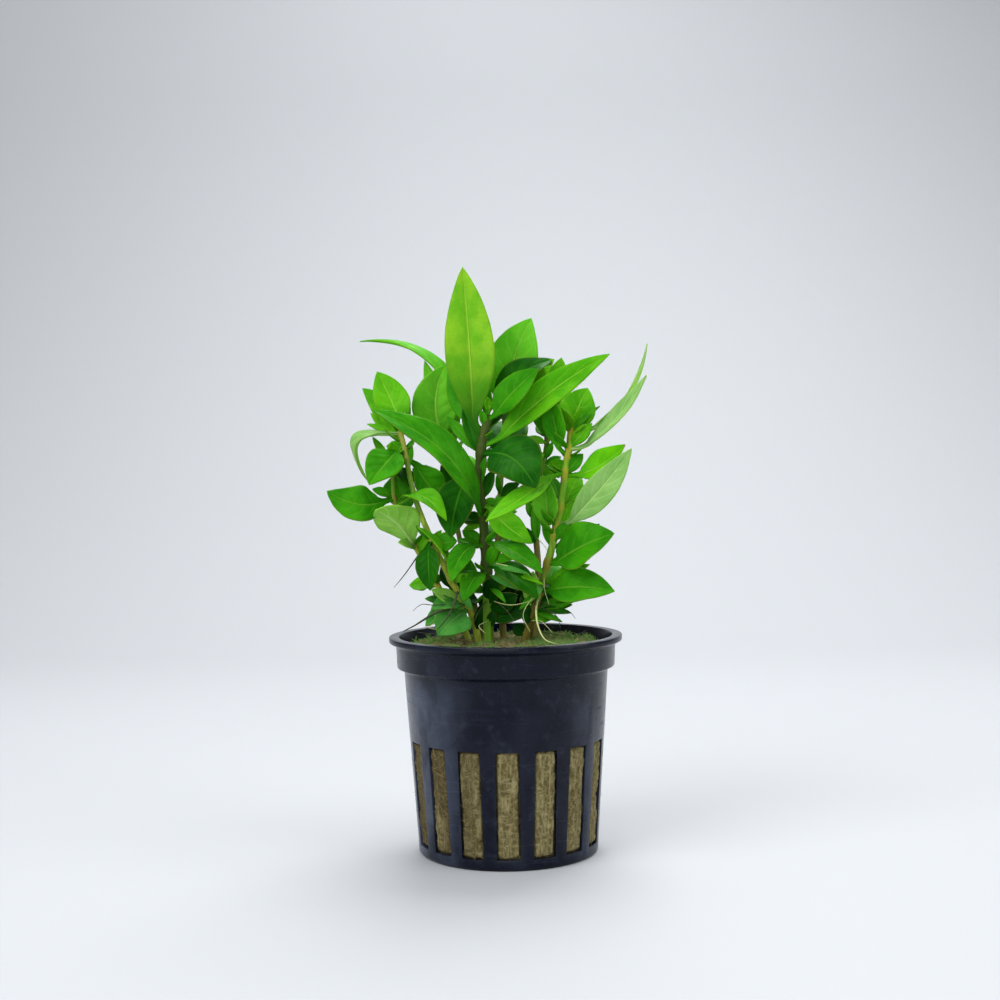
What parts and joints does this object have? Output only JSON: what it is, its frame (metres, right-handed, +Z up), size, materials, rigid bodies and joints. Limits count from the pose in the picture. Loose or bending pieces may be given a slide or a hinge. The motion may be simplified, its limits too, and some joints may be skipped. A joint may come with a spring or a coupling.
{
  "type": "potted aquarium plant",
  "caption": "Aquatic plant with leafy upright stems, rooted in a plug of mineral wool in a round slotted net pot with a lip.",
  "frame": {"origin": "centre of the pot's underside, on the surface that it stands on", "axes": "+Z up along the pot's axis, -Y towards the viewer who sees the plant's best side, +X to that viewer's right"},
  "size_m": [0.075, 0.054, 0.1355],
  "materials": {
    "pot": "satin moulded plastic",
    "wool": "fibrous, moist, with moss",
    "stem": "smooth living stem",
    "top_leaf": "living leaf, soft sheen",
    "leaf": "living leaf, soft sheen",
    "back_leaf": "living leaf, soft sheen"
  },
  "bodies": {
    "root": {"pot": "pot", "wool": "wool", "stem_main": "stem", "stem_left": "stem", "stem_left_low": "stem", "stem_right": "stem", "stem_right_back": "stem", "stem_back": "stem", "stem_back_left": "stem", "leaf_main_1": "top_leaf", "leaf_main_2": "top_leaf", "leaf_main_3": "top_leaf", "leaf_main_4": "top_leaf", "leaf_main_5": "top_leaf", "leaf_main_6": "leaf", "leaf_main_7": "leaf", "leaf_main_8": "leaf", "leaf_main_9": "leaf", "leaf_main_10": "leaf", "leaf_main_11": "leaf", "leaf_main_12": "leaf", "leaf_left_1": "top_leaf", "leaf_left_2": "top_leaf", "leaf_left_3": "leaf", "leaf_left_4": "leaf", "leaf_left_5": "leaf", "leaf_left_6": "leaf", "leaf_left_7": "leaf", "leaf_left_8": "leaf", "leaf_left_9": "leaf", "leaf_left_low_1": "leaf", "leaf_left_low_2": "leaf", "leaf_left_low_3": "leaf", "leaf_left_low_4": "leaf", "leaf_left_low_5": "leaf", "leaf_left_low_6": "leaf", "leaf_right_1": "top_leaf", "leaf_right_2": "top_leaf", "leaf_right_3": "top_leaf", "leaf_right_4": "top_leaf", "leaf_right_5": "leaf", "leaf_right_6": "leaf", "leaf_right_7": "leaf", "leaf_right_8": "leaf", "leaf_right_9": "leaf", "leaf_right_10": "leaf", "leaf_right_11": "back_leaf", "leaf_right_back_1": "top_leaf", "leaf_right_back_2": "top_leaf", "leaf_right_back_3": "back_leaf", "leaf_right_back_4": "back_leaf", "leaf_back_1": "top_leaf", "leaf_back_2": "top_leaf", "leaf_back_3": "back_leaf", "leaf_back_4": "back_leaf", "leaf_back_left_1": "top_leaf", "leaf_back_left_2": "top_leaf", "leaf_back_left_3": "back_leaf", "leaf_back_left_4": "back_leaf"}
  },
  "joints": []
}
